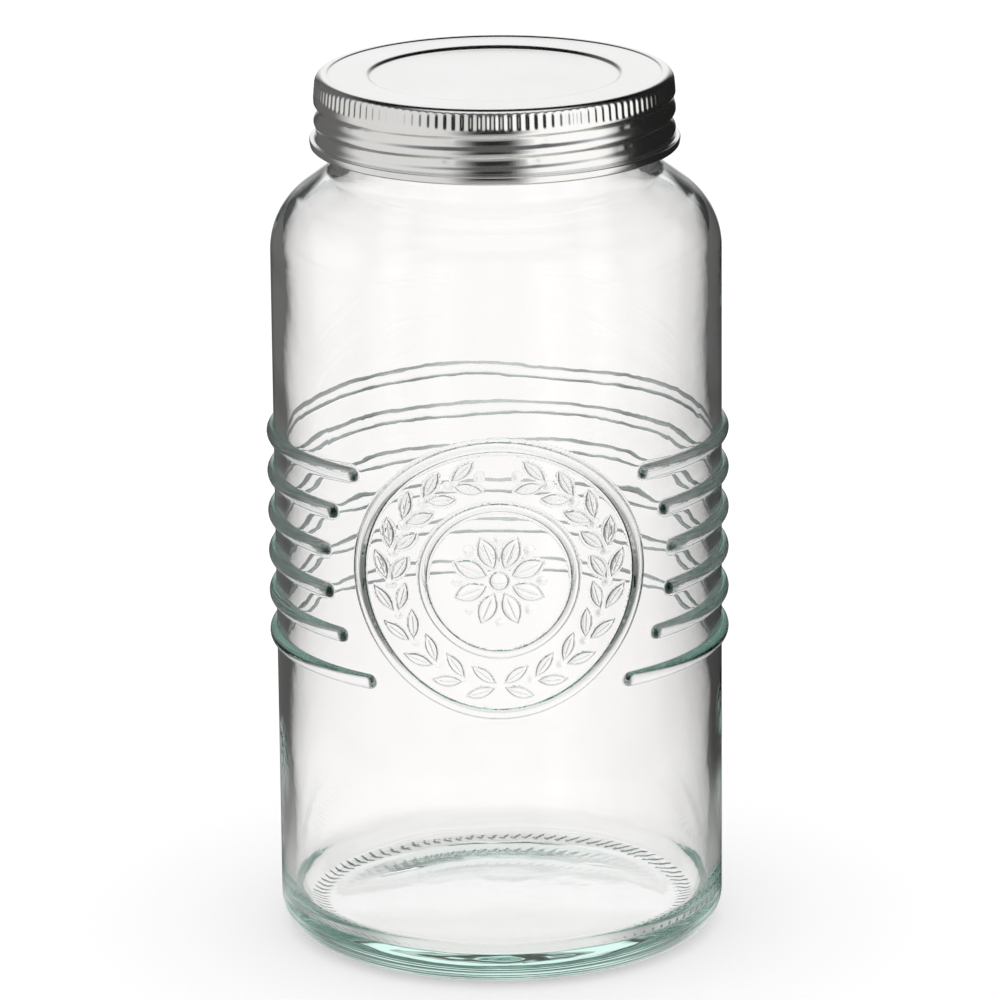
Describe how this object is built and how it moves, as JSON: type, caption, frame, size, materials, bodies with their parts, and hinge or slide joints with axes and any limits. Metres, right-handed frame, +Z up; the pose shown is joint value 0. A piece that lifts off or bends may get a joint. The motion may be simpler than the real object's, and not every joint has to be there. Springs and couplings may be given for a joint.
{
  "type": "glass storage jar",
  "caption": "Tall round clear glass storage jar with ribbed sides, a round front medallion and a pressed metal screw lid with a sealing liner.",
  "frame": {"origin": "middle of the ring that the jar stands on, on the jar's axis, in the plane of the table", "axes": "+Z up along the jar's axis to the lid; -Y to the front, where the medallion is; +X to the right seen from the front"},
  "size_m": [0.1134, 0.1129, 0.216],
  "materials": {
    "glass": "clear moulded glass, faint green where it is thick",
    "lid_metal": "satin tinned steel, polished on the fluted and rolled skirt",
    "liner": "soft white sealing compound"
  },
  "bodies": {
    "root": {"jar_body": "glass", "lid": "lid_metal", "lid_liner": "liner"}
  },
  "joints": []
}
